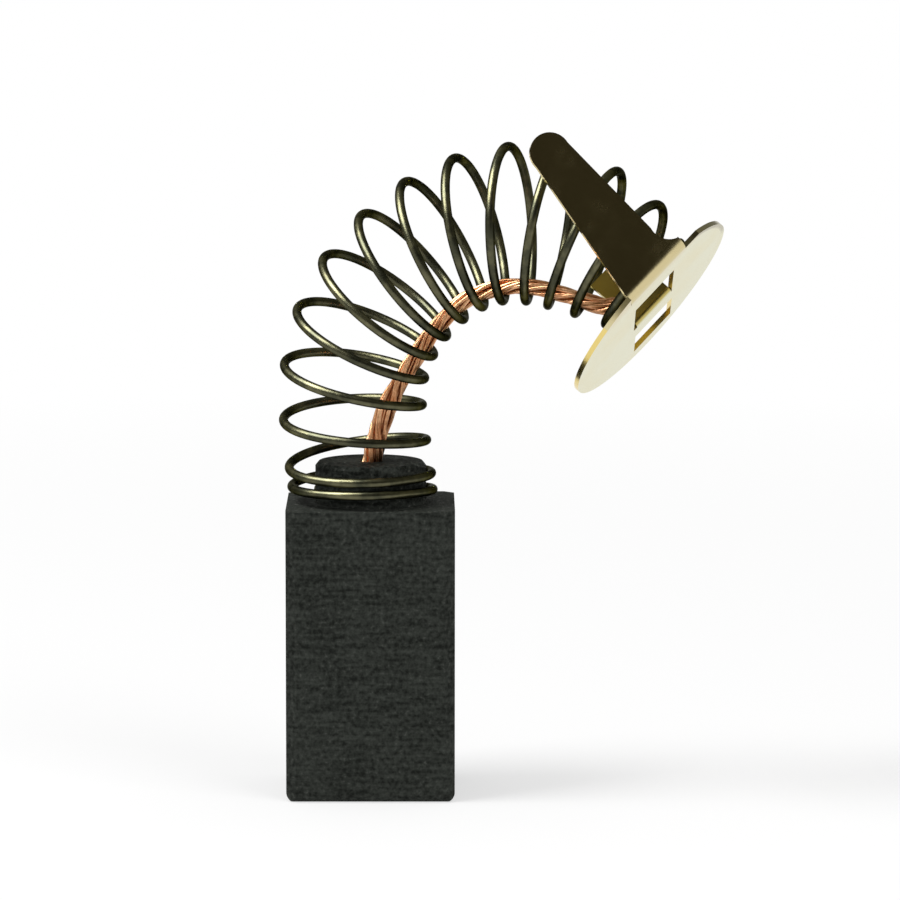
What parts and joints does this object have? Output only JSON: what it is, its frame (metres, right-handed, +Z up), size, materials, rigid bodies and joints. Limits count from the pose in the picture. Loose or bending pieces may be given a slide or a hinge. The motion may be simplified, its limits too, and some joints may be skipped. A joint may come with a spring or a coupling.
{
  "type": "carbon brush",
  "caption": "Carbon brush: an upright carbon block with a boss, a bent coil spring over a copper shunt, and a folded brass cap with a long contact tongue.",
  "frame": {"origin": "centre of the wear face, the block's flat lower end", "axes": "+Z up the block from the wear face, +X towards the cap that the spring leans to, -Y is the side the tongue shows on"},
  "size_m": [0.0263, 0.0134, 0.0399],
  "materials": {
    "carbon": "matte",
    "spring_steel": "satin",
    "copper": "bare stranded copper",
    "brass": "bright rolled sheet"
  },
  "bodies": {
    "root": {"carbon_block": "carbon", "spring": "spring_steel", "shunt": "copper", "terminal_cap": "brass"}
  },
  "joints": []
}
